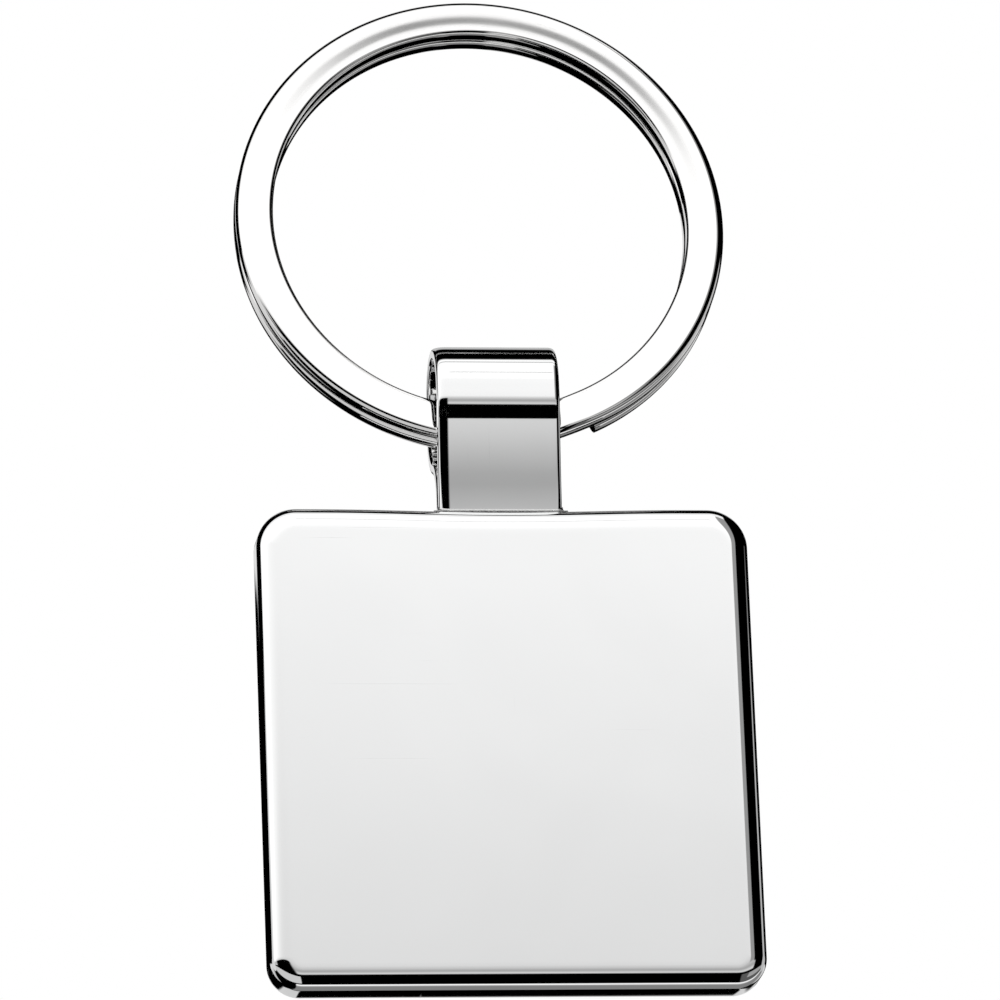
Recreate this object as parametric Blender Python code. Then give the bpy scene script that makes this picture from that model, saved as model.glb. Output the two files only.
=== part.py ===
"""A square metal keyring fob: a polished plate on a folded strap, hung from a flat-wire split ring.

Lengths are in millimetres and become metres at the very end. +Z is up and the front of the plate
faces -Y. The origin is the hook point: the inside top of the split ring, half way through it.
"""

import math

import bmesh
import bpy
from mathutils import Vector

MM = 0.001

# Plate, about its own centre.
PLATE_SIDE = 32.0
PLATE_THICKNESS = 3.4
TOP_CORNER_RADIUS = 2.6
BOTTOM_CORNER_RADIUS = 2.1
EDGE_INSET = 1.45  # how far the rounded edge runs in over each face
EDGE_DEPTH = 1.0  # and how far it runs down the side
EDGE_POWER = 2.5  # of the superellipse that rounds it, where 2 is an ellipse
TOP_DIP = 0.18  # the top edge is polished away a little towards the strap
TOP_DIP_REACH = 12.0  # half the width of that hollow
CORNER_STEPS = 7
EDGE_STEPS = 5
TOP_STEPS = 12

# Strap: a strip folded over into an eye, both legs sunk into a slot in the plate's top edge.
STRAP_WIDTH = 8.0
STRAP_THICKNESS = 0.9
STRAP_EDGE_RADIUS = 0.2
LEG_GAP = 0.1  # between the two legs at the foot
LEG_DEPTH = 2.7  # how deep they reach into the plate
SLOT_DEPTH = 3.0
SLOT_CLEARANCE = 0.1
FOOT_DEPTH = 0.5  # how deep in the slot's mouth the front leg starts to lean
FOOT_LEAN = 4.0  # degrees
FOOT_RADIUS = 5.0
FRONT_LEAN = 10.0  # the front leg curves slightly outward on its way up
FRONT_RADIUS = 59.0
SHOULDER_LEAN = 14.5  # the steepest stretch, just under the eye
SHOULDER_LOWER_RADIUS = 2.0
SHOULDER_LENGTH = 0.66
SHOULDER_UPPER_RADIUS = 2.5
EYE_BEND_START = 24.5  # height of the bend's centre above the plate's centre
EYE_BEND_RADIUS = 2.55
REAR_LEAN = 7.5
REAR_LEAN_LENGTH = 2.35
REAR_RADIUS = 2.7
REAR_SLOPE = 68.0
REAR_FOOT_RADIUS = 2.2
STRAP_STEP = 9.0  # degrees of bend between two points

# Solder bead round the strap's foot.
BEAD_SIZE = 0.35
BEAD_GAP = 0.06

# Split ring: flat spring wire wound nearly twice round, in two layers.
RING_OUTER_DIAMETER = 32.3
WIRE_WIDTH = 2.45  # across the ring's radius
WIRE_THICKNESS = 1.2  # along the ring's axis
WIRE_OUTER_RADIUS = 0.5  # of the wire's edges on the outside of the ring
WIRE_INNER_RADIUS = 0.3
TURN_GAP = 0.1
FRONT_END = 263.0  # degrees anticlockwise from +X, seen from the front
REAR_END = 295.5
JOGGLE_START = 294.0  # where the wire starts to cross from the front layer to the rear one
JOGGLE_END = 266.0
RING_TILT = 7.6  # the ring leans back from the plate
RING_STEPS = 72  # points in a full turn
WIRE_CORNER_STEPS = 2

# The hinge is the line that the ring turns about in the eye, a little inside the middle of the wire.
HINGE_FROM_WIRE = 0.4
HINGE_Y = 1.35  # from the plate's middle plane
HINGE_Z = 22.38  # above the plate's centre
FOB_X = 0.15  # the fob sits this far along the ring from its lowest point

RING_MEAN_RADIUS = (RING_OUTER_DIAMETER - WIRE_WIDTH) / 2
RING_INNER_RADIUS = RING_OUTER_DIAMETER / 2 - WIRE_WIDTH
TILT = math.radians(RING_TILT)
RING_UP = Vector((0, math.sin(TILT), math.cos(TILT)))
RING_CENTRE = -RING_INNER_RADIUS * RING_UP
HINGE = RING_CENTRE - (RING_MEAN_RADIUS - HINGE_FROM_WIRE) * RING_UP
PLATE_FROM_HINGE = Vector((FOB_X, -HINGE_Y, -HINGE_Z))


def clear_scene():
    for old in list(bpy.data.objects):
        bpy.data.objects.remove(old, do_unlink=True)


def collection(name):
    made = bpy.data.collections.new(name)
    bpy.context.scene.collection.children.link(made)
    return made


def metal(name, colour, roughness):
    made = bpy.data.materials.new(name)
    made.use_nodes = True
    shader = made.node_tree.nodes["Principled BSDF"]
    shader.inputs["Base Color"].default_value = (*colour, 1)
    shader.inputs["Metallic"].default_value = 1.0
    shader.inputs["Roughness"].default_value = roughness
    return made


def add_object(name, data, group, material=None):
    made = bpy.data.objects.new(name, data)
    group.objects.link(made)
    if material:
        made.data.materials.append(material)
    return made


def mesh_from(name, build):
    """A mesh in metres from a bmesh that build fills in millimetres."""
    shape = bmesh.new()
    build(shape)
    bmesh.ops.recalc_face_normals(shape, faces=shape.faces)
    bmesh.ops.scale(shape, vec=(MM, MM, MM), verts=shape.verts)
    data = bpy.data.meshes.new(name)
    shape.to_mesh(data)
    shape.free()
    return data


def shade_round(thing, degrees=35):
    thing.data.shade_smooth()
    thing.data.set_sharp_from_angle(angle=math.radians(degrees))


def loft(shape, loops, closed_path=False):
    """Joins equal loops of points with quads, and caps the two ends unless the path is closed."""
    rows = [[shape.verts.new(point) for point in loop] for loop in loops]
    pairs = list(zip(rows, rows[1:]))
    if closed_path:
        pairs.append((rows[-1], rows[0]))
    for near, far in pairs:
        for i in range(len(near)):
            j = (i + 1) % len(near)
            shape.faces.new((near[i], near[j], far[j], far[i]))
    if not closed_path:
        shape.faces.new(rows[0])
        shape.faces.new(reversed(rows[-1]))


# Plate


def top_drop(x):
    """How far the plate's top edge is polished down at x."""
    if abs(x) >= TOP_DIP_REACH:
        return 0.0
    return TOP_DIP * math.cos(math.pi / 2 * x / TOP_DIP_REACH) ** 2


def edge_inset(y):
    """How far the plate's rounded edge stands in from its outline at depth y."""
    past = (abs(y) - (PLATE_THICKNESS / 2 - EDGE_DEPTH)) / EDGE_DEPTH
    past = min(1.0, max(0.0, past))
    return EDGE_INSET * (1 - (1 - past**EDGE_POWER) ** (1 / EDGE_POWER))


def plate_top(x, y):
    return PLATE_SIDE / 2 - top_drop(x) - edge_inset(y)


def plate_section(y, inset):
    """The plate's outline at depth y, anticlockwise from the right end of the top edge."""
    half = PLATE_SIDE / 2
    top_half = half - TOP_CORNER_RADIUS
    points = [(top_half * (1 - 2 * i / TOP_STEPS), half - inset) for i in range(1, TOP_STEPS)]
    for corner, (side, height) in enumerate(((-1, 1), (-1, -1), (1, -1), (1, 1))):
        full_radius = TOP_CORNER_RADIUS if height > 0 else BOTTOM_CORNER_RADIUS
        centre = half - full_radius
        radius = full_radius - inset
        for step in range(CORNER_STEPS + 1):
            angle = math.pi / 2 * (1 + corner + step / CORNER_STEPS)
            points.append((side * centre + radius * math.cos(angle), height * centre + radius * math.sin(angle)))
    return [(x, y, z - (top_drop(x) if z > top_half else 0)) for x, z in points]


def build_plate(shape):
    flat = PLATE_THICKNESS / 2 - EDGE_DEPTH
    profile = []
    for step in range(EDGE_STEPS + 1):
        turn = math.pi / 2 * step / EDGE_STEPS
        depth = EDGE_DEPTH * math.cos(turn) ** (2 / EDGE_POWER)
        inset = EDGE_INSET * (1 - math.sin(turn) ** (2 / EDGE_POWER))
        profile.append((-flat - depth, inset))
    profile += [(-y, inset) for y, inset in reversed(profile)]
    loft(shape, [plate_section(y, inset) for y, inset in profile])


def build_slot(shape):
    width = STRAP_WIDTH + 2 * SLOT_CLEARANCE
    depth = 2 * STRAP_THICKNESS + LEG_GAP + 2 * SLOT_CLEARANCE
    height = 2 * SLOT_DEPTH
    bmesh.ops.create_cube(shape, size=1)
    bmesh.ops.scale(shape, vec=(width, depth, height), verts=shape.verts)
    bmesh.ops.translate(shape, vec=(0, 0, PLATE_SIDE / 2), verts=shape.verts)


# Strap


def straight(length):
    return (length, 0.0)


def bend(radius, degrees):
    return (radius * math.radians(abs(degrees)), degrees)


def walk(start, legs):
    """Points (y, z, heading) along a chain of legs. A heading of 0 is up, and 90 is towards +Y."""
    y, z, heading = start
    points = [(y, z, heading)]
    for length, turn in legs:
        steps = max(1, math.ceil(abs(turn) / STRAP_STEP))
        chord = length / steps
        if turn:
            half = math.radians(abs(turn)) / steps / 2
            chord *= math.sin(half) / half
        for _ in range(steps):
            heading += turn / steps / 2
            y += chord * math.sin(math.radians(heading))
            z += chord * math.cos(math.radians(heading))
            heading += turn / steps / 2
            points.append((y, z, heading))
    return points


def strap_centreline():
    """From the front leg's foot, up over the eye, and down to the rear leg's foot."""
    leg_y = (STRAP_THICKNESS + LEG_GAP) / 2
    foot_z = PLATE_SIDE / 2 - LEG_DEPTH
    front = [
        straight(LEG_DEPTH - FOOT_DEPTH),
        bend(FOOT_RADIUS, -FOOT_LEAN),
        bend(FRONT_RADIUS, FOOT_LEAN - FRONT_LEAN),
        bend(SHOULDER_LOWER_RADIUS, FRONT_LEAN - SHOULDER_LEAN),
        straight(SHOULDER_LENGTH),
        bend(SHOULDER_UPPER_RADIUS, SHOULDER_LEAN),
    ]
    front_top = walk((-leg_y, foot_z, 0.0), front)[-1]
    over = front + [
        straight(EYE_BEND_START - front_top[1]),
        bend(EYE_BEND_RADIUS, 180 - REAR_LEAN),
        straight(REAR_LEAN_LENGTH),
        bend(REAR_RADIUS, REAR_LEAN + REAR_SLOPE),
    ]
    slope = math.radians(REAR_SLOPE)
    y_on_slope = walk((-leg_y, foot_z, 0.0), over)[-1][0]
    slope_run = y_on_slope - leg_y - REAR_FOOT_RADIUS * (1 - math.cos(slope))
    over += [straight(slope_run / math.sin(slope)), bend(REAR_FOOT_RADIUS, -REAR_SLOPE)]
    rear_low = walk((-leg_y, foot_z, 0.0), over)[-1]
    return walk((-leg_y, foot_z, 0.0), over + [straight(rear_low[1] - foot_z)])


def strap_outline():
    """The strap seen from its side, as one closed loop of (y, z)."""
    half = STRAP_THICKNESS / 2
    line = strap_centreline()
    sides = []
    for sign in (-1, 1):
        sides.append([
            (y + sign * half * math.cos(math.radians(heading)), z - sign * half * math.sin(math.radians(heading)))
            for y, z, heading in line
        ])
    return sides[0] + sides[1][::-1]


def build_strap(shape):
    outline = strap_outline()
    loft(shape, [[(side * STRAP_WIDTH / 2, y, z) for y, z in outline] for side in (-1, 1)])
    rims = [edge for edge in shape.edges if abs(edge.verts[0].co.x - edge.verts[1].co.x) < 1e-6]
    bmesh.ops.bevel(shape, geom=rims, offset=STRAP_EDGE_RADIUS, segments=2, profile=0.5, affect="EDGES")


# Solder bead


def bead_section(x, y, out_x, out_y):
    """The bead's section where it leaves the strap's foot at (x, y), facing (out_x, out_y)."""
    inner = Vector((x + BEAD_GAP * out_x, y + BEAD_GAP * out_y))
    outer = inner + BEAD_SIZE * Vector((out_x, out_y))
    middle = inner + 0.35 * BEAD_SIZE * Vector((out_x, out_y))
    low = [(spot.x, spot.y, plate_top(spot.x, spot.y) + BEAD_GAP) for spot in (inner, outer)]
    return [
        (inner.x, inner.y, PLATE_SIDE / 2 - TOP_DIP + BEAD_GAP + BEAD_SIZE),
        (middle.x, middle.y, PLATE_SIDE / 2 - TOP_DIP + BEAD_GAP + 0.35 * BEAD_SIZE),
        (outer.x, outer.y, low[1][2] + 0.02),
        low[1],
        low[0],
    ]


def build_bead(shape):
    half_x = STRAP_WIDTH / 2 - STRAP_EDGE_RADIUS
    half_y = STRAP_THICKNESS + LEG_GAP / 2 - STRAP_EDGE_RADIUS
    sections = []
    for corner, (side_x, side_y) in enumerate(((1, 1), (-1, 1), (-1, -1), (1, -1))):
        for step in range(4):
            angle = math.pi / 2 * (corner + step / 3)
            out_x = math.cos(angle)
            out_y = math.sin(angle)
            foot_x = side_x * half_x + STRAP_EDGE_RADIUS * out_x
            foot_y = side_y * half_y + STRAP_EDGE_RADIUS * out_y
            sections.append(bead_section(foot_x, foot_y, out_x, out_y))
    loft(shape, sections, closed_path=True)


# Split ring


def layer_height(degrees):
    """Height of the wire's middle along the ring's axis. The wire runs clockwise, so degrees falls."""
    half_step = (WIRE_THICKNESS + TURN_GAP) / 2
    share = (JOGGLE_START - 360 - degrees) / (JOGGLE_START - JOGGLE_END)
    share = min(1.0, max(0.0, share))
    return half_step * math.cos(math.pi * share)


def wire_profile():
    """The wire's section as (across the radius, along the axis), with rounder edges on its outer side."""
    points = []
    for corner, (side, rise) in enumerate(((1, 1), (-1, 1), (-1, -1), (1, -1))):
        radius = WIRE_OUTER_RADIUS if side > 0 else WIRE_INNER_RADIUS
        for step in range(WIRE_CORNER_STEPS + 1):
            angle = math.pi / 2 * (corner + step / WIRE_CORNER_STEPS)
            across = side * (WIRE_WIDTH / 2 - radius) + radius * math.cos(angle)
            points.append((across, rise * (WIRE_THICKNESS / 2 - radius) + radius * math.sin(angle)))
    return points


def build_ring(shape):
    """From the front layer's end, clockwise, over the joggle and round to the rear layer's end."""
    sweep = FRONT_END + 360 - (REAR_END - 360)
    steps = round(sweep / 360 * RING_STEPS)
    profile = wire_profile()
    sections = []
    for step in range(steps + 1):
        degrees = FRONT_END - sweep * step / steps
        angle = math.radians(degrees)
        height = layer_height(degrees)
        sections.append([
            ((RING_MEAN_RADIUS + across) * math.cos(angle), (RING_MEAN_RADIUS + across) * math.sin(angle), height + rise)
            for across, rise in profile
        ])
    loft(shape, sections)


def main():
    clear_scene()
    parts = collection("square_keyring_fob")
    cutters = collection("cutters")

    plate = add_object("fob_plate", mesh_from("fob_plate", build_plate), parts,
                       metal("polished_zinc_plating", (0.86, 0.87, 0.87), 0.05))
    strap = add_object("link_strap", mesh_from("link_strap", build_strap), parts,
                       metal("polished_strip_plating", (0.82, 0.83, 0.83), 0.06))
    bead = add_object("solder_joint", mesh_from("solder_joint", build_bead), parts,
                      metal("bright_solder", (0.70, 0.71, 0.72), 0.2))
    ring = add_object("split_ring", mesh_from("split_ring", build_ring), parts,
                      metal("nickel_plated_spring_steel", (0.80, 0.79, 0.77), 0.08))
    slot = add_object("strap_slot_cutter", mesh_from("strap_slot_cutter", build_slot), cutters)
    slot.hide_render = True
    slot.display_type = "WIRE"

    cut = plate.modifiers.new("strap_slot", "BOOLEAN")
    cut.operation = "DIFFERENCE"
    cut.solver = "EXACT"
    cut.object = slot

    swing = add_object("ring_swing_axis", None, parts)
    swing.location = HINGE * MM
    for piece in (plate, strap, bead, slot):
        piece.parent = swing
        piece.location = PLATE_FROM_HINGE * MM

    ring.location = RING_CENTRE * MM
    ring.rotation_euler.x = math.radians(90 - RING_TILT)
    for piece in (plate, strap, bead, ring):
        shade_round(piece)


main()
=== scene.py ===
"""The looks of the square keyring fob: fine meshes, plated metal and a studio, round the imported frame.

Lengths are in millimetres unless a comment says metres, and mesh_from turns the shapes into metres. Places
come from the frame's boxes.
"""

import math

import bmesh
import bpy
from mathutils import Matrix, Vector


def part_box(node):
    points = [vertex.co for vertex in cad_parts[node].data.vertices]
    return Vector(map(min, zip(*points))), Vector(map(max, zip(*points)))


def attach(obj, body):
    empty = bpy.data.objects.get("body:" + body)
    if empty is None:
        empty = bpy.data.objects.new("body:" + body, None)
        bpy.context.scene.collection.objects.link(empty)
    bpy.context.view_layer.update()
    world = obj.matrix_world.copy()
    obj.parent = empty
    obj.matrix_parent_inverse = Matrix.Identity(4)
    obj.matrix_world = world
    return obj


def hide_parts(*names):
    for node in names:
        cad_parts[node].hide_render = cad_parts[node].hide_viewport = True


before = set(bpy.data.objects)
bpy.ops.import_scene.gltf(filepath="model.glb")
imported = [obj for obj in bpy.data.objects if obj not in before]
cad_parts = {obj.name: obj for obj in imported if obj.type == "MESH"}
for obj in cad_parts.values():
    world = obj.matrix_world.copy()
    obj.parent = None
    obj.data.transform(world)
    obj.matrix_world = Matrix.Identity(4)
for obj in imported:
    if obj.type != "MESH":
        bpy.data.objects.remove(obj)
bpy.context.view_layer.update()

MM = 0.001

# Corners of a section are superellipses. This power makes a plain quarter circle.
ROUND_POWER = 2

# Edges that turn by more than this many degrees are shaded sharp: on the plate and the solder, and on the
# strap and the ring.
CAST_SHARP = 40
STRIP_SHARP = 60

# Plate. Its side and thickness come from the frame.
TOP_CORNER_RADIUS = 2.6
BOTTOM_CORNER_RADIUS = 2.1
EDGE_INSET = 1.45
EDGE_DEPTH = 1.0
EDGE_POWER = 2.5
FACE_MARGIN = 0.25
TOP_DIP = 0.18
TOP_DIP_REACH = 12.0
CORNER_STEPS = 28
EDGE_STEPS = 20
TOP_STEPS = 60

# Strap.
STRAP_THICKNESS = 0.9
STRAP_INNER_RADIUS = 0.2
STRAP_CROWN_DEPTH = 0.3
STRAP_CROWN_LEFT = 1.0
STRAP_CROWN_RIGHT = 0.45
STRAP_CROWN_POWER = 2.5
STRAP_CROWN_STEPS = 16
STRAP_INNER_STEPS = 6
LEG_GAP = 0.1
LEG_DEPTH = 2.7
FOOT_DEPTH = 0.5
FOOT_LEAN = 4.0
FOOT_RADIUS = 5.0
FRONT_LEAN = 10.0
FRONT_RADIUS = 59.0
SHOULDER_LEAN = 14.5
SHOULDER_LOWER_RADIUS = 2.0
SHOULDER_LENGTH = 0.66
SHOULDER_UPPER_RADIUS = 2.5
EYE_BEND_START = 24.5
EYE_BEND_RADIUS = 2.55
REAR_LEAN = 7.5
REAR_LEAN_LENGTH = 2.35
REAR_RADIUS = 2.7
REAR_SLOPE = 68.0
REAR_FOOT_RADIUS = 2.2
STRAP_STEP_DEGREES = 1.5
STRAP_STEP_LENGTH = 0.4

# Solder bead.
BEAD_END_SIZE = 0.34
BEAD_SIDE_SIZE = 0.12
BEAD_GAP = 0.06
BEAD_LIFT = 0.02
BEAD_STEPS = 8

# Split ring.
WIRE_WIDTH = 2.45
WIRE_THICKNESS = 1.2
WIRE_OUTER_RADIUS = 0.5
WIRE_INNER_RADIUS = 0.3
WIRE_OUTER_STEPS = 10
WIRE_INNER_STEPS = 8
WIRE_INNER_SLOPE = math.radians(0.25)
WIRE_OUTER_SLOPE = math.radians(2.25)
WIRE_FACE_STEPS = 10
TURN_GAP = 0.1
FRONT_END = 263.0
REAR_END = 295.5
JOGGLE_START = 294.0
JOGGLE_END = 266.0
RING_TILT = math.radians(7.6)
RING_STEPS = 360

# Camera: which way it stands from the object, how far, and the point it looks at from the plate's centre.
CAMERA_AZIMUTH = -8.225
CAMERA_ELEVATION = -17.01
CAMERA_ROLL = -2.27
CAMERA_DISTANCE = 570.8
CAMERA_LENS = 317.2
SENSOR_WIDTH = 36.0
LOOKS_AT = Vector((0.076, 0.0, 16.93))
CLIP_METRES = (0.01, 20.0)

# Plating. Heights are in metres. A scratch starts, and is full, where its noise passes these peaks.
GRAIN_HEIGHT = 4e-8
GRAIN_ROUGHENING = 0.5
SCRATCH_DEPTH = 4e-7
SCRATCH_ROUGHNESS = 0.1
SCRATCH_PEAKS = (0.74, 0.78)
SMUDGES_PER_WAVE = 0.35
SMUDGE_ROUGHENING = 1.7
SMUDGE_TINT = 0.965

# Solder. Scales are in cycles a metre, and heights in metres.
SOLDER_GRAIN_SCALE = 4500
SOLDER_GRAIN_HEIGHT = 8e-6
SOLDER_RIPPLE_SCALE = (900, 900, 3000)
SOLDER_RIPPLE_HEIGHT = 2e-5
SOLDER_ROUGHNESS = (0.12, 0.3)
SOLDER_DARK = (0.62, 0.62, 0.62)
SOLDER_LIGHT = (0.82, 0.82, 0.81)

# Floor, in metres.
FLOOR_HEIGHT = -0.7
FLOOR_SIZE = 12.0
FLOOR_ROUGHNESS = 0.9
FLOOR_SPECKLE_SCALE = 40.0
FLOOR_DARK = (0.9, 0.9, 0.9)
FLOOR_LIGHT = (0.93, 0.93, 0.93)

# What the metal mirrors along the middle, as (angle, tone). The angle is in degrees, from 0 at the front
# horizon, over the top to 180 behind, and below to -180.
OVER_TONES = [
    (-180, 0.7), (-150, 0.55), (-132, 0.22), (-84, 0.22), (-73, 0.5), (-70, 1.0), (-62, 1.0), (-59, 0.0),
    (-5, 0.0), (-3.5, 0.7), (-1, 0.65), (5, 0.37), (9, 0.5), (13.8, 0.73), (17, 0.96), (22, 1.1), (66, 1.1),
    (67, 0.5), (69, 0.5), (70, 1.1), (75, 1.1), (79, 0.0), (125, 0.0), (130, 0.5), (160, 0.6), (163.4, 0.0),
    (169, 0.0), (172, 0.7),
]

# The curved card that the ring's top mirrors: degrees away from its middle, and degrees round it, as
# (low, high, soft).
ARC_AWAY = (3.05, 3.75, 0.2)
ARC_AROUND = (60.0, 105.0, 50.0)
ARC_TONE = 0.3

# The dark hoop behind the ring, round its axis, as (low, high, soft) in the cosine of the angle from it.
HOOP = (math.cos(math.radians(33.0)), math.cos(math.radians(23.5)), 0.006)

# Cards laid over those tones in turn: (lowest angle over, highest, lowest sideways, highest, tone, soft
# degrees, soft sideways). Sideways is -1 at the left and 1 at the right.
CARDS = [
    (11.0, 60.0, 0.30, 0.6, 0.3, 2.0, 0.03),
    (11.0, 176.0, 0.47, 1.5, 0.0, 3.0, 0.03),
    (-12.0, 14.0, 0.55, 1.5, 0.0, 1.0, 0.05),
    (90.0, 166.0, -1.5, -0.22, 0.0, 3.0, 0.06),
    (-12.2, 11.0, -0.78, -0.04, 0.0, 0.6, 0.07),
    (-59.0, -12.8, 0.3, 1.5, 0.1, 1.0, 0.05),
    (-33.0, -13.5, 0.5, 1.5, 0.35, 1.0, 0.05),
    (160.0, 190.0, 0.3, 0.57, 0.0, 3.0, 0.03),
    (-190.0, -137.0, 0.3, 0.57, 0.0, 3.0, 0.03),
    (168.0, 192.0, -0.34, -0.2, 0.0, 1.0, 0.03),
    (-190.0, -137.0, -0.57, -0.22, 0.0, 3.0, 0.03),
    (-137.0, -52.0, -1.5, -0.22, 0.0, 3.0, 0.05),
    (-51.0, -12.8, -1.5, 0.02, 0.6, 0.5, 0.03),
    (-167.0, -138.0, 0.06, 0.22, 0.0, 2.0, 0.02),
    (159.0, 163.1, -0.2, 0.0, 0.75, 0.3, 0.03),
    (-200.0, 200.0, -1.5, -0.962, 0.7, 1.0, 0.004),
    (-200.0, 200.0, 0.965, 1.5, 0.5, 1.0, 0.015),
]

# A Mix node's sockets when it mixes colours.
MIX_SHARE = 0
MIX_FIRST = 6
MIX_SECOND = 7
MIX_RESULT = 2


def frame_box(node):
    """(centre, size) of a CAD node in millimetres."""
    low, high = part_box(node)
    low = Vector(low) / MM
    high = Vector(high) / MM
    return (low + high) / 2, high - low


PLATE_CENTRE, PLATE_SIZE = frame_box("fob_plate")
STRAP_WIDTH = frame_box("link_strap")[1].x
RING_RADIUS = frame_box("split_ring")[1].x / 2
RING_UP = Vector((0, math.sin(RING_TILT), math.cos(RING_TILT)))
RING_CENTRE = -(RING_RADIUS - WIRE_WIDTH) * RING_UP


def mesh_from(name, build):
    """A mesh in metres, from a function that adds faces in millimetres to a bmesh."""
    shape = bmesh.new()
    build(shape)
    bmesh.ops.recalc_face_normals(shape, faces=shape.faces)
    bmesh.ops.scale(shape, vec=(MM, MM, MM), verts=shape.verts)
    data = bpy.data.meshes.new(name)
    shape.to_mesh(data)
    shape.free()
    return data


def add_piece(name, build, place, material, body, node, sharp):
    """A fine mesh that rides on a body and stands for a CAD node. place is a matrix in millimetres."""
    piece = bpy.data.objects.new(name, mesh_from(name, build))
    bpy.context.scene.collection.objects.link(piece)
    rotation = place.to_3x3().to_4x4()
    piece.matrix_world = Matrix.Translation(place.to_translation() * MM) @ rotation
    piece.data.materials.append(material)
    piece.data.shade_smooth()
    piece.data.set_sharp_from_angle(angle=math.radians(sharp))
    bpy.context.view_layer.update()
    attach(piece, body)
    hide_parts(node)


def loft(shape, loops, closed_path=False):
    """Faces between loops of points, each joined to the next. An open path gets a cap at each end."""
    rows = [[shape.verts.new(point) for point in loop] for loop in loops]
    pairs = list(zip(rows, rows[1:]))
    if closed_path:
        pairs.append((rows[-1], rows[0]))
    for near, far in pairs:
        for i in range(len(near)):
            j = (i + 1) % len(near)
            shape.faces.new((near[i], near[j], far[j], far[i]))
    if not closed_path:
        shape.faces.new(rows[0])
        shape.faces.new(reversed(rows[-1]))


# Plate


def top_drop(x):
    """How far the plate's top edge dips at x."""
    if abs(x) >= TOP_DIP_REACH:
        return 0.0
    return TOP_DIP * math.cos(math.pi / 2 * x / TOP_DIP_REACH) ** 2


def edge_inset(y):
    """How far the plate's rounded edge has drawn in at depth y."""
    past = (abs(y) - (PLATE_SIZE.y / 2 - EDGE_DEPTH)) / EDGE_DEPTH
    past = min(1.0, max(0.0, past))
    return EDGE_INSET * (1 - (1 - past**EDGE_POWER) ** (1 / EDGE_POWER))


def plate_top(x, y):
    """Height of the plate's top edge at (x, y), from the plate's centre."""
    return PLATE_SIZE.z / 2 - top_drop(x) - edge_inset(y)


def plate_section(y, inset):
    """The plate's outline at depth y, drawn in by inset, as (x, y, z) points from the top edge round."""
    half = PLATE_SIZE.x / 2
    top_half = half - TOP_CORNER_RADIUS
    points = [(top_half * (1 - 2 * i / TOP_STEPS), half - inset) for i in range(1, TOP_STEPS)]
    for corner, (side, height) in enumerate(((-1, 1), (-1, -1), (1, -1), (1, 1))):
        full_radius = TOP_CORNER_RADIUS if height > 0 else BOTTOM_CORNER_RADIUS
        centre = half - full_radius
        radius = full_radius - inset
        for step in range(CORNER_STEPS + 1):
            angle = math.pi / 2 * (1 + corner + step / CORNER_STEPS)
            x = side * centre + radius * math.cos(angle)
            z = height * centre + radius * math.sin(angle)
            points.append((x, z))
    return [(x, y, z - (top_drop(x) if z > top_half else 0)) for x, z in points]


def build_plate(shape):
    flat = PLATE_SIZE.y / 2 - EDGE_DEPTH
    profile = [(-PLATE_SIZE.y / 2, EDGE_INSET + FACE_MARGIN)]
    for step in range(EDGE_STEPS + 1):
        turn = math.pi / 2 * step / EDGE_STEPS
        depth = EDGE_DEPTH * math.cos(turn) ** (2 / EDGE_POWER)
        profile.append((-flat - depth, EDGE_INSET * (1 - math.sin(turn) ** (2 / EDGE_POWER))))
    profile += [(-y, inset) for y, inset in reversed(profile)]
    loft(shape, [plate_section(y, inset) for y, inset in profile])


# Strap


def straight(length):
    """A leg of a walk with no turn, as (length, turn)."""
    return (length, 0.0)


def bend(radius, degrees):
    """A leg of a walk along an arc, as (length, turn). A positive turn leans a rising leg to the back."""
    return (radius * math.radians(abs(degrees)), degrees)


def walk(start, legs):
    """Points along the legs from start, as (y, z, heading). Heading is in degrees, and 0 is straight up."""
    y, z, heading = start
    points = [(y, z, heading)]
    for length, turn in legs:
        steps = max(1, math.ceil(abs(turn) / STRAP_STEP_DEGREES), math.ceil(length / STRAP_STEP_LENGTH))
        chord = length / steps
        if turn:
            half = math.radians(abs(turn)) / steps / 2
            chord *= math.sin(half) / half
        for _ in range(steps):
            heading += turn / steps / 2
            y += chord * math.sin(math.radians(heading))
            z += chord * math.cos(math.radians(heading))
            heading += turn / steps / 2
            points.append((y, z, heading))
    return points


def strap_centreline():
    """The strip's middle, from the front leg's foot in the plate, over the eye, to the rear leg's foot."""
    leg_y = (STRAP_THICKNESS + LEG_GAP) / 2
    foot_z = PLATE_SIZE.z / 2 - LEG_DEPTH
    start = (-leg_y, foot_z, 0.0)
    front = [
        straight(LEG_DEPTH - FOOT_DEPTH),
        bend(FOOT_RADIUS, -FOOT_LEAN),
        bend(FRONT_RADIUS, FOOT_LEAN - FRONT_LEAN),
        bend(SHOULDER_LOWER_RADIUS, FRONT_LEAN - SHOULDER_LEAN),
        straight(SHOULDER_LENGTH),
        bend(SHOULDER_UPPER_RADIUS, SHOULDER_LEAN),
    ]
    _, front_top, _ = walk(start, front)[-1]
    over = front + [
        straight(EYE_BEND_START - front_top),
        bend(EYE_BEND_RADIUS, 180 - REAR_LEAN),
        straight(REAR_LEAN_LENGTH),
        bend(REAR_RADIUS, REAR_LEAN + REAR_SLOPE),
    ]
    slope = math.radians(REAR_SLOPE)
    slope_top_y, _, _ = walk(start, over)[-1]
    slope_run = slope_top_y - leg_y - REAR_FOOT_RADIUS * (1 - math.cos(slope))
    over += [straight(slope_run / math.sin(slope)), bend(REAR_FOOT_RADIUS, -REAR_SLOPE)]
    _, rear_bottom, _ = walk(start, over)[-1]
    return walk(start, over + [straight(rear_bottom - foot_z)])


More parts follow.
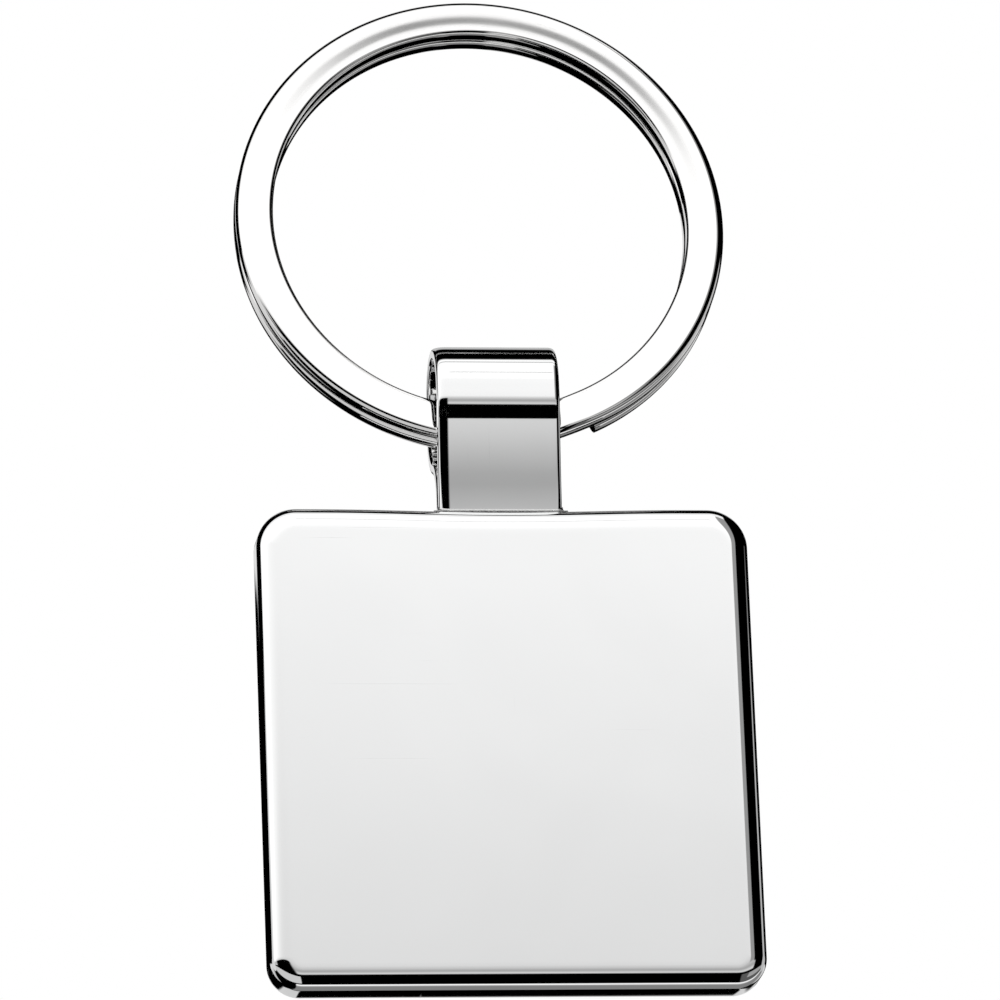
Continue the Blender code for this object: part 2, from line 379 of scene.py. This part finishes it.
def corner_points(width, height, side, rise, inset, depth, power, steps):
    """One rounded corner of a section, from its side wall round to its flat face, as (across, up).

    side and rise are 1 or -1, and say which corner. It takes inset off the width and depth off the height.
    """
    points = []
    for step in range(steps + 1):
        angle = math.pi / 2 * step / steps
        across = width / 2 - inset * (1 - math.cos(angle) ** (2 / power))
        up = height / 2 - depth * (1 - math.sin(angle) ** (2 / power))
        points.append((side * across, rise * up))
    return points


def strap_section():
    """The strip's section as (x, up): its outer face, at -up, is crowned, and more so on the left."""
    size = (STRAP_WIDTH, STRAP_THICKNESS)
    inner = (STRAP_INNER_RADIUS, STRAP_INNER_RADIUS, ROUND_POWER, STRAP_INNER_STEPS)
    left = (STRAP_CROWN_LEFT, STRAP_CROWN_DEPTH, STRAP_CROWN_POWER, STRAP_CROWN_STEPS)
    right = (STRAP_CROWN_RIGHT, STRAP_CROWN_DEPTH, STRAP_CROWN_POWER, STRAP_CROWN_STEPS)
    points = corner_points(*size, 1, 1, *inner)
    points += reversed(corner_points(*size, -1, 1, *inner))
    points += corner_points(*size, -1, -1, *left)
    points += reversed(corner_points(*size, 1, -1, *right))
    return points


def build_strap(shape):
    section = strap_section()
    loops = []
    for y, z, heading in strap_centreline():
        out_y = math.cos(math.radians(heading))
        out_z = -math.sin(math.radians(heading))
        loops.append([(x, y + up * out_y, z + up * out_z) for x, up in section])
    loft(shape, loops)


# Solder bead


def foot_outline():
    """Both legs' outline where they enter the plate, as (point, outward direction)."""
    leg_y = (STRAP_THICKNESS + LEG_GAP) / 2
    front = [Vector((x, up - leg_y)) for x, up in strap_section() if up < 0]
    points = front + [Vector((point.x, -point.y)) for point in reversed(front)]
    outline = []
    for index, point in enumerate(points):
        along = points[(index + 1) % len(points)] - points[index - 1]
        outline.append((point, Vector((along.y, -along.x)).normalized()))
    return outline


def bead_section(point, out):
    """The bead's section at a point of the foot: a hollow fillet from the strap down to the plate."""
    size = BEAD_SIDE_SIZE + (BEAD_END_SIZE - BEAD_SIDE_SIZE) * abs(out.x)
    inner = point + BEAD_GAP * out
    base = PLATE_SIZE.z / 2 - TOP_DIP + BEAD_GAP
    points = []
    for step in range(BEAD_STEPS + 1):
        angle = math.pi / 2 * step / BEAD_STEPS
        blend = 1 - math.cos(angle)
        spot = inner + size * blend * out
        rise = size * (1 - math.sin(angle))
        ground = plate_top(spot.x, spot.y) + BEAD_GAP + BEAD_LIFT
        points.append((spot.x, spot.y, (base + rise) * (1 - blend) + ground * blend))
    outer = inner + size * out
    points.append((outer.x, outer.y, plate_top(outer.x, outer.y) + BEAD_GAP))
    points.append((inner.x, inner.y, plate_top(inner.x, inner.y) + BEAD_GAP))
    return points


def build_bead(shape):
    loft(shape, [bead_section(point, out) for point, out in foot_outline()], closed_path=True)


# Split ring


def layer_height(degrees):
    """Height of the wire's middle along the ring's axis. The wire runs clockwise, so degrees falls."""
    half_step = (WIRE_THICKNESS + TURN_GAP) / 2
    share = (JOGGLE_START - 360 - degrees) / (JOGGLE_START - JOGGLE_END)
    share = min(1.0, max(0.0, share))
    return half_step * math.cos(math.pi * share)


def wire_section():
    """The wire's section as (across the radius, along the axis), with rounder edges on its outer side.

    Its two flat faces fall away slightly towards the outside of the ring, and more so near its outer edge.
    """
    size = (WIRE_WIDTH, WIRE_THICKNESS)
    outer = (WIRE_OUTER_RADIUS, WIRE_OUTER_RADIUS, ROUND_POWER, WIRE_OUTER_STEPS)
    inner = (WIRE_INNER_RADIUS, WIRE_INNER_RADIUS, ROUND_POWER, WIRE_INNER_STEPS)
    face_start = WIRE_WIDTH / 2 - WIRE_OUTER_RADIUS
    face_length = WIRE_WIDTH - WIRE_OUTER_RADIUS - WIRE_INNER_RADIUS
    face = [face_start - face_length * step / WIRE_FACE_STEPS for step in range(1, WIRE_FACE_STEPS)]
    half = WIRE_THICKNESS / 2
    points = corner_points(*size, 1, 1, *outer)
    points += [(across, half) for across in face]
    points += reversed(corner_points(*size, -1, 1, *inner))
    points += corner_points(*size, -1, -1, *inner)
    points += [(across, -half) for across in reversed(face)]
    points += reversed(corner_points(*size, 1, -1, *outer))
    section = []
    for across, up in points:
        run = across + WIRE_WIDTH / 2
        drop = WIRE_INNER_SLOPE * run + (WIRE_OUTER_SLOPE - WIRE_INNER_SLOPE) * run**2 / (2 * WIRE_WIDTH)
        section.append((across, up * (1 - drop / half)))
    return section


def build_ring(shape):
    """The wire from its front end, clockwise for nearly two turns, to its rear end."""
    sweep = FRONT_END + 360 - (REAR_END - 360)
    steps = round(sweep / 360 * RING_STEPS)
    section = wire_section()
    middle = RING_RADIUS - WIRE_WIDTH / 2
    loops = []
    for step in range(steps + 1):
        degrees = FRONT_END - sweep * step / steps
        angle = math.radians(degrees)
        height = layer_height(degrees)
        loops.append([
            ((middle + across) * math.cos(angle), (middle + across) * math.sin(angle), height + up)
            for across, up in section
        ])
    loft(shape, loops)


# Materials


def link(tree, output, socket):
    """Feeds a socket from an output, or sets it when the output is a plain number or a tuple."""
    if isinstance(output, (int, float, tuple)):
        socket.default_value = output
    else:
        tree.links.new(output, socket)


def math_node(tree, operation, *inputs):
    node = tree.nodes.new("ShaderNodeMath")
    node.operation = operation
    for value, socket in zip(inputs, node.inputs):
        link(tree, value, socket)
    return node.outputs[0]


def length_of(tree, x, y):
    """The length of (x, y)."""
    y_squared = math_node(tree, "MULTIPLY", y, y)
    return math_node(tree, "SQRT", math_node(tree, "MULTIPLY_ADD", x, x, y_squared))


def mixed(tree, share, first, second):
    """The first colour, with a share of the second. A colour is an output or (red, green, blue, 1)."""
    node = tree.nodes.new("ShaderNodeMix")
    node.data_type = "RGBA"
    link(tree, share, node.inputs[MIX_SHARE])
    link(tree, first, node.inputs[MIX_FIRST])
    link(tree, second, node.inputs[MIX_SECOND])
    return node.outputs[MIX_RESULT]


def remap(tree, value, low, high, to_low, to_high, smooth=False):
    node = tree.nodes.new("ShaderNodeMapRange")
    node.interpolation_type = "SMOOTHSTEP" if smooth else "LINEAR"
    for number, socket in zip((value, low, high, to_low, to_high), node.inputs):
        link(tree, number, socket)
    return node.outputs[0]


def noise_node(tree, place, scale, detail=2.0, distortion=0.0):
    node = tree.nodes.new("ShaderNodeTexNoise")
    tree.links.new(place, node.inputs["Vector"])
    node.inputs["Scale"].default_value = scale
    node.inputs["Detail"].default_value = detail
    node.inputs["Distortion"].default_value = distortion
    return node.outputs[0]


def stretched(tree, place, stretch):
    """The same place in the piece with each axis scaled, so that noise on it runs in lines."""
    node = tree.nodes.new("ShaderNodeMapping")
    tree.links.new(place, node.inputs["Vector"])
    node.inputs["Scale"].default_value = stretch
    return node.outputs[0]


def piece_place(tree):
    """Where a point is in its piece, in metres from the piece's origin."""
    return tree.nodes.new("ShaderNodeTexCoord").outputs["Object"]


def round_place(tree):
    """Where a point is round the ring: (distance round it, distance from its axis, height)."""
    split = tree.nodes.new("ShaderNodeSeparateXYZ")
    tree.links.new(piece_place(tree), split.inputs[0])
    x, y, height = split.outputs
    turn = math_node(tree, "ABSOLUTE", math_node(tree, "ARCTAN2", y, x))
    joined = tree.nodes.new("ShaderNodeCombineXYZ")
    link(tree, math_node(tree, "MULTIPLY", turn, RING_RADIUS * MM), joined.inputs[0])
    link(tree, length_of(tree, x, y), joined.inputs[1])
    link(tree, height, joined.inputs[2])
    return joined.outputs[0]


def hairlines(tree, place, stretch, share):
    """Sparse fine scratches: the peaks of a noise drawn out along one axis. share is how much they cover."""
    drawn = noise_node(tree, stretched(tree, place, stretch), 1.0, detail=3.0)
    low, high = SCRATCH_PEAKS
    return remap(tree, drawn, low - share, high - share, 0.0, 1.0)


def new_material(name, metallic=0.0):
    """(material, its node tree, its Principled BSDF)."""
    made = bpy.data.materials.new(name)
    made.use_nodes = True
    shader = made.node_tree.nodes["Principled BSDF"]
    shader.inputs["Metallic"].default_value = metallic
    return made, made.node_tree, shader


def add_bump(tree, shader, height):
    """Tilts the shader's normals by a height in metres."""
    bump = tree.nodes.new("ShaderNodeBump")
    bump.inputs["Distance"].default_value = 1.0
    link(tree, height, bump.inputs["Height"])
    tree.links.new(bump.outputs[0], shader.inputs["Normal"])


def polished(name, colour, roughness, place_of, wave, grain, scratches):
    """Bright plating: a nearly true mirror with polishing waves, a fine grain, scratches and faint smudges.

    wave is (size, height), grain is the stretch of its lines in cycles a metre, and scratches is a list
    of (stretch, share) for hairlines. Sizes and heights are in metres.
    """
    made, tree, shader = new_material(name, metallic=1.0)
    place = place_of(tree)
    wave_size, wave_height = wave
    waves = noise_node(tree, place, 1 / wave_size, detail=1.0)
    lines = noise_node(tree, stretched(tree, place, grain), 1.0, detail=4.0)
    marks = 0.0
    for stretch, share in scratches:
        marks = math_node(tree, "MAXIMUM", marks, hairlines(tree, place, stretch, share))
    smudge = noise_node(tree, place, SMUDGES_PER_WAVE / wave_size, detail=3.0, distortion=1.5)
    sheen = remap(tree, smudge, 0.35, 0.7, roughness, roughness * SMUDGE_ROUGHENING)
    sheen = math_node(tree, "MULTIPLY_ADD", lines, roughness * GRAIN_ROUGHENING, sheen)
    sheen = math_node(tree, "MULTIPLY_ADD", marks, SCRATCH_ROUGHNESS, sheen)
    link(tree, sheen, shader.inputs["Roughness"])
    dulled = math_node(tree, "MAXIMUM", remap(tree, smudge, 0.3, 0.8, 0.0, 1.0), marks)
    dull_colour = [part * SMUDGE_TINT for part in colour]
    tone = mixed(tree, dulled, (*colour, 1), (*dull_colour, 1))
    tree.links.new(tone, shader.inputs["Base Color"])
    height = math_node(tree, "MULTIPLY", waves, wave_height)
    height = math_node(tree, "MULTIPLY_ADD", lines, GRAIN_HEIGHT, height)
    height = math_node(tree, "MULTIPLY_ADD", marks, -SCRATCH_DEPTH, height)
    add_bump(tree, shader, height)
    return made


def plate_plating():
    return polished(
        "plate_plating", colour=(0.965, 0.968, 0.968), roughness=0.02, place_of=piece_place,
        wave=(0.009, 6e-6), grain=(300, 300, 4000),
        scratches=[((60, 60, 9000), 0.02), ((7000, 60, 90), 0.015)],
    )


def strap_plating():
    return polished(
        "strap_plating", colour=(0.955, 0.958, 0.958), roughness=0.03, place_of=piece_place,
        wave=(0.004, 4e-6), grain=(6000, 300, 300),
        scratches=[((8000, 80, 80), 0.03)],
    )


def ring_plating():
    return polished(
        "ring_plating", colour=(0.955, 0.95, 0.945), roughness=0.03, place_of=round_place,
        wave=(0.005, 3e-6), grain=(200, 7000, 7000),
        scratches=[((60, 9000, 9000), 0.04)],
    )


def bright_solder():
    """Solder that froze in a small fillet: dull, a little grainy, with faint flow ripples."""
    made, tree, shader = new_material("bright_solder", metallic=1.0)
    place = piece_place(tree)
    grains = noise_node(tree, place, SOLDER_GRAIN_SCALE, detail=3.0, distortion=0.4)
    ripples = noise_node(tree, stretched(tree, place, SOLDER_RIPPLE_SCALE), 1.0, detail=2.0)
    link(tree, remap(tree, grains, 0.35, 0.7, *SOLDER_ROUGHNESS), shader.inputs["Roughness"])
    tone = mixed(tree, grains, (*SOLDER_DARK, 1), (*SOLDER_LIGHT, 1))
    tree.links.new(tone, shader.inputs["Base Color"])
    height = math_node(tree, "MULTIPLY", grains, SOLDER_GRAIN_HEIGHT)
    height = math_node(tree, "MULTIPLY_ADD", ripples, SOLDER_RIPPLE_HEIGHT, height)
    add_bump(tree, shader, height)
    return made


# Studio


def camera_axes():
    """The camera's right, up and backward directions."""
    azimuth = math.radians(CAMERA_AZIMUTH)
    elevation = math.radians(CAMERA_ELEVATION)
    roll = math.radians(CAMERA_ROLL)
    back = Vector((
        math.sin(azimuth) * math.cos(elevation),
        -math.cos(azimuth) * math.cos(elevation),
        math.sin(elevation),
    ))
    level = Vector((math.cos(azimuth), math.sin(azimuth), 0))
    above = back.cross(level)
    right = level * math.cos(roll) + above * math.sin(roll)
    up = above * math.cos(roll) - level * math.sin(roll)
    return right, up, back


def camera_spot():
    """Where the camera is, in millimetres."""
    _, _, back = camera_axes()
    return PLATE_CENTRE + LOOKS_AT + CAMERA_DISTANCE * back


def add_camera():
    data = bpy.data.cameras.new("camera")
    data.sensor_width = SENSOR_WIDTH
    data.lens = CAMERA_LENS
    data.clip_start, data.clip_end = CLIP_METRES
    camera = bpy.data.objects.new("camera", data)
    bpy.context.scene.collection.objects.link(camera)
    turned = Matrix(camera_axes()).transposed().to_4x4()
    camera.matrix_world = Matrix.Translation(camera_spot() * MM) @ turned
    bpy.context.scene.camera = camera


def over_ramp(tree, over_share):
    """The tone at an angle over the object, from OVER_TONES. over_share runs from 0 at -180 to 1 at 180."""
    node = tree.nodes.new("ShaderNodeValToRGB")
    elements = node.color_ramp.elements
    elements.remove(elements[-1])
    for index, (angle, tone) in enumerate(OVER_TONES):
        place = (angle + 180) / 360
        element = elements[0] if index == 0 else elements.new(place)
        element.position = place
        element.color = (tone, tone, tone, 1)
    tree.links.new(over_share, node.inputs[0])
    return node.outputs[0]


def window(tree, value, low, high, soft):
    """1 between low and high, and 0 past a soft edge on either side."""
    rise = remap(tree, value, low - soft, low, 0.0, 1.0, smooth=True)
    fall = remap(tree, value, high, high + soft, 1.0, 0.0, smooth=True)
    return math_node(tree, "MULTIPLY", rise, fall)


def laid_over(tree, base, cover, tone):
    """The base with a grey card over it where cover is 1."""
    return mixed(tree, cover, base, (tone, tone, tone, 1))


def dot(tree, place, direction):
    node = tree.nodes.new("ShaderNodeVectorMath")
    node.operation = "DOT_PRODUCT"
    tree.links.new(place, node.inputs[0])
    node.inputs[1].default_value = direction
    return node.outputs["Value"]


def arc_cover(tree, place):
    """1 on the curved card, which goes round the direction that the ring's face mirrors in the front view."""
    facing = Vector((0, -math.cos(RING_TILT), math.sin(RING_TILT)))
    to_camera = (camera_spot() - RING_CENTRE).normalized()
    middle = 2 * facing.dot(to_camera) * facing - to_camera
    sideways = (Vector((1, 0, 0)) - middle.x * middle).normalized()
    upward = middle.cross(sideways)
    across = dot(tree, place, sideways)
    rise = dot(tree, place, upward)
    away = length_of(tree, rise, across)
    around = math_node(tree, "ARCTAN2", rise, across)
    ahead = math_node(tree, "GREATER_THAN", dot(tree, place, middle), 0.0)
    low, high, soft = [math.radians(degrees) for degrees in ARC_AWAY]
    cover = math_node(tree, "MULTIPLY", window(tree, away, low, high, soft), ahead)
    low, high, soft = [math.radians(degrees) for degrees in ARC_AROUND]
    return math_node(tree, "MULTIPLY", cover, window(tree, around, low, high, soft))


def build_world():
    """Light and dark cards that the metal mirrors, and a plain white room for the camera and the floor."""
    world = bpy.data.worlds.new("studio")
    bpy.context.scene.world = world
    world.use_nodes = True
    tree = world.node_tree
    tree.nodes.clear()
    split = tree.nodes.new("ShaderNodeSeparateXYZ")
    place = tree.nodes.new("ShaderNodeTexCoord").outputs["Generated"]
    tree.links.new(place, split.inputs[0])
    side, depth, height = split.outputs
    over = math_node(tree, "ARCTAN2", height, math_node(tree, "MULTIPLY", depth, -1.0))
    tones = over_ramp(tree, math_node(tree, "MULTIPLY_ADD", over, 1 / (2 * math.pi), 0.5))
    degrees = math_node(tree, "MULTIPLY", over, 180 / math.pi)
    ring_back = Vector((0, math.cos(RING_TILT), -math.sin(RING_TILT)))
    tones = laid_over(tree, tones, window(tree, dot(tree, place, ring_back), *HOOP), 0.0)
    for over_low, over_high, side_low, side_high, tone, over_soft, side_soft in CARDS:
        within_over = window(tree, degrees, over_low, over_high, over_soft)
        within_side = window(tree, side, side_low, side_high, side_soft)
        tones = laid_over(tree, tones, math_node(tree, "MULTIPLY", within_over, within_side), tone)
    tones = laid_over(tree, tones, arc_cover(tree, place), ARC_TONE)
    cards = tree.nodes.new("ShaderNodeBackground")
    tree.links.new(tones, cards.inputs[0])
    room = tree.nodes.new("ShaderNodeBackground")
    room.inputs[0].default_value = (1, 1, 1, 1)
    path = tree.nodes.new("ShaderNodeLightPath")
    plain = math_node(tree, "MAXIMUM", path.outputs["Is Camera Ray"], path.outputs["Is Diffuse Ray"])
    mix = tree.nodes.new("ShaderNodeMixShader")
    tree.links.new(plain, mix.inputs[0])
    tree.links.new(cards.outputs[0], mix.inputs[1])
    tree.links.new(room.outputs[0], mix.inputs[2])
    out = tree.nodes.new("ShaderNodeOutputWorld")
    tree.links.new(mix.outputs[0], out.inputs[0])


def add_floor():
    """A plain pale floor far below. The metal doesn't mirror it, since it sees the cards."""
    data = bpy.data.meshes.new("floor")
    shape = bmesh.new()
    bmesh.ops.create_grid(shape, x_segments=1, y_segments=1, size=FLOOR_SIZE / 2)
    shape.to_mesh(data)
    shape.free()
    floor = bpy.data.objects.new("floor", data)
    bpy.context.scene.collection.objects.link(floor)
    floor.location.z = FLOOR_HEIGHT
    paint, tree, shader = new_material("floor")
    shader.inputs["Roughness"].default_value = FLOOR_ROUGHNESS
    speckle = noise_node(tree, piece_place(tree), FLOOR_SPECKLE_SCALE, detail=4.0)
    tone = mixed(tree, speckle, (*FLOOR_DARK, 1), (*FLOOR_LIGHT, 1))
    tree.links.new(tone, shader.inputs["Base Color"])
    data.materials.append(paint)
    floor.visible_glossy = False


def main():
    add_camera()
    build_world()
    add_floor()
    bpy.context.scene.view_settings.view_transform = "Standard"
    plate_place = Matrix.Translation(PLATE_CENTRE)
    ring_place = Matrix.Translation(RING_CENTRE) @ Matrix.Rotation(math.pi / 2 - RING_TILT, 4, "X")
    add_piece(
        "polished_plate", build_plate, plate_place, plate_plating(),
        body="fob", node="fob_plate", sharp=CAST_SHARP,
    )
    add_piece(
        "folded_strap", build_strap, plate_place, strap_plating(),
        body="fob", node="link_strap", sharp=STRIP_SHARP,
    )
    add_piece(
        "solder_bead", build_bead, plate_place, bright_solder(),
        body="fob", node="solder_joint", sharp=CAST_SHARP,
    )
    add_piece(
        "wound_ring", build_ring, ring_place, ring_plating(),
        body="ring", node="split_ring", sharp=STRIP_SHARP,
    )


main()
